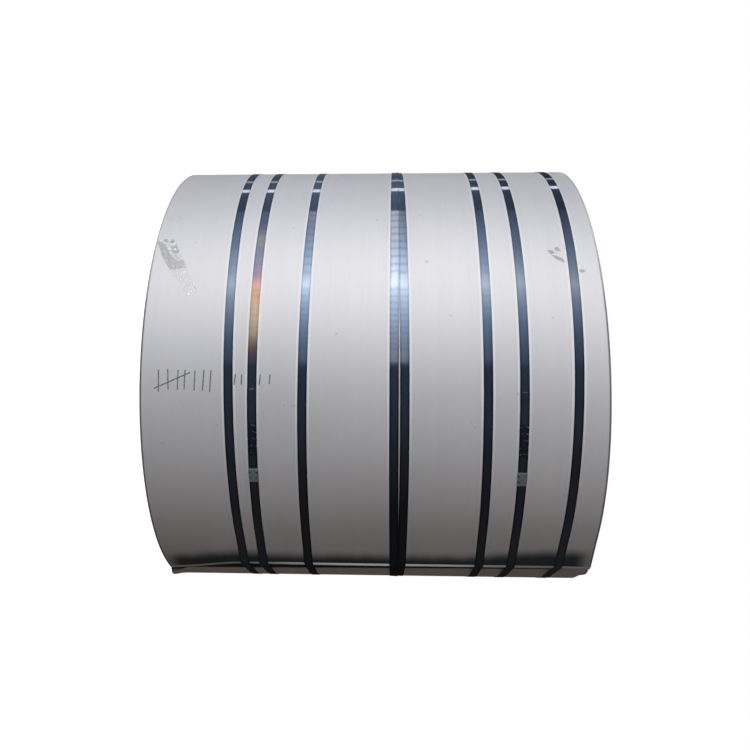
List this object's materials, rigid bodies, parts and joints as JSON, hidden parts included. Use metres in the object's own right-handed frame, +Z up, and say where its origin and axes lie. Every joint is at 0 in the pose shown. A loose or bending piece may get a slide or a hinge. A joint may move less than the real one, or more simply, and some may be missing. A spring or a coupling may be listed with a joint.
{
  "type": "steel coil",
  "caption": "Wound coil of wide steel sheet standing on its end, with a round bore, a loose outer tail and eight flat steel straps with crimped seals.",
  "frame": {"origin": "on the bore's axis, at the lower end that the coil stands on", "axes": "+Z up along the bore; +Y from the front, where two seals and the tail's edge show, to the back; +X to the side that is down when the coil lies"},
  "size_m": [1.378, 1.3803, 1.25],
  "materials": {
    "sheet": "satin, fine lines round the coil",
    "strap": "dark blued, glossy",
    "seal": "dull zinc",
    "tape": "torn and wrinkled"
  },
  "bodies": {
    "root": {"coil": "sheet", "strap_1": "strap", "strap_2": "strap", "strap_3": "strap", "strap_4": "strap", "strap_5": "strap", "strap_6": "strap", "strap_7": "strap", "strap_8": "strap", "seal_1": "seal", "seal_2": "seal", "seal_3": "seal", "seal_4": "seal", "seal_5": "seal", "seal_6": "seal", "seal_7": "seal", "seal_8": "seal", "tape_lower": "tape", "tape_upper": "tape"}
  },
  "joints": []
}
